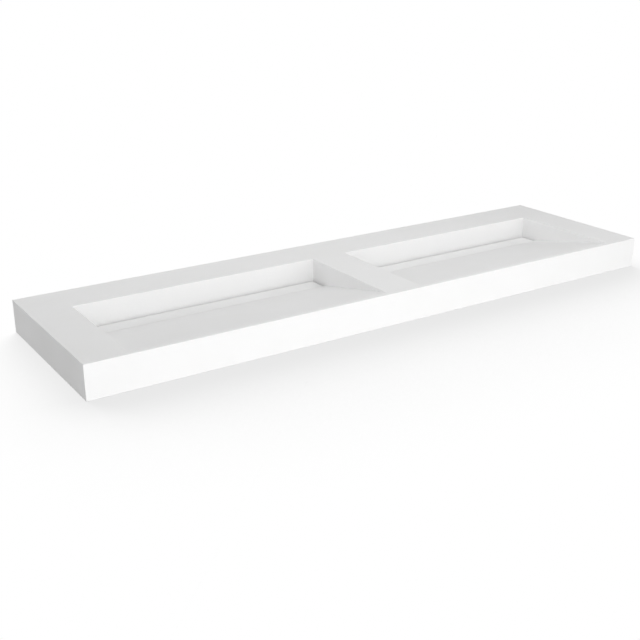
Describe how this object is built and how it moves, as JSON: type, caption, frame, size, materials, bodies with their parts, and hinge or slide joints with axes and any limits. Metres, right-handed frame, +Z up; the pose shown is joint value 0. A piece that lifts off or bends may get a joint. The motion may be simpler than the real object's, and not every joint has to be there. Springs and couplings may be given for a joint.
{
  "type": "double washbasin top",
  "caption": "Long flat washbasin top in white solid surface with side-by-side basins, each a ramp falling to a slot drain under a loose cover strip.",
  "frame": {"origin": "middle of the underside of the slab", "axes": "+X along the slab to the right as seen from the front, +Y to the wall, +Z up"},
  "size_m": [1.6, 0.45, 0.08],
  "materials": {
    "solid_surface": "sanded matt white solid surface, acrylic resin with mineral filler",
    "white_abs": "moulded white ABS",
    "stainless_steel": "punched and brushed stainless steel",
    "silicone": "translucent grey silicone",
    "plywood": "birch plywood, sealed",
    "brass": "turned brass"
  },
  "bodies": {
    "slab": {"top_deck": "solid_surface", "front_apron": "solid_surface", "rear_apron": "solid_surface", "left_end_panel": "solid_surface", "right_end_panel": "solid_surface", "left_back_wall": "solid_surface", "left_outer_wall": "solid_surface", "left_inner_wall": "solid_surface", "left_ramp": "solid_surface", "left_seat_bar": "solid_surface", "left_channel_floor": "solid_surface", "left_outlet_bush": "white_abs", "left_outlet_strainer": "stainless_steel", "right_back_wall": "solid_surface", "right_outer_wall": "solid_surface", "right_inner_wall": "solid_surface", "right_ramp": "solid_surface", "right_seat_bar": "solid_surface", "right_channel_floor": "solid_surface", "right_outlet_bush": "white_abs", "right_outlet_strainer": "stainless_steel", "rear_batten": "plywood", "front_batten": "plywood", "left_end_batten": "plywood", "right_end_batten": "plywood", "divider_batten": "plywood", "corner_blocks": "plywood", "threaded_inserts": "brass"},
    "left_cover": {"left_slot_cover": "solid_surface", "left_cover_feet": "solid_surface", "left_cover_pads": "silicone"},
    "right_cover": {"right_slot_cover": "solid_surface", "right_cover_feet": "solid_surface", "right_cover_pads": "silicone"}
  },
  "joints": [
    {"name": "left_cover_lift", "type": "slide", "parent": "slab", "child": "left_cover", "axis": [0, 0, 1], "range_m": [0, 0.09]},
    {"name": "right_cover_lift", "type": "slide", "parent": "slab", "child": "right_cover", "axis": [0, 0, 1], "range_m": [0, 0.09]}
  ]
}
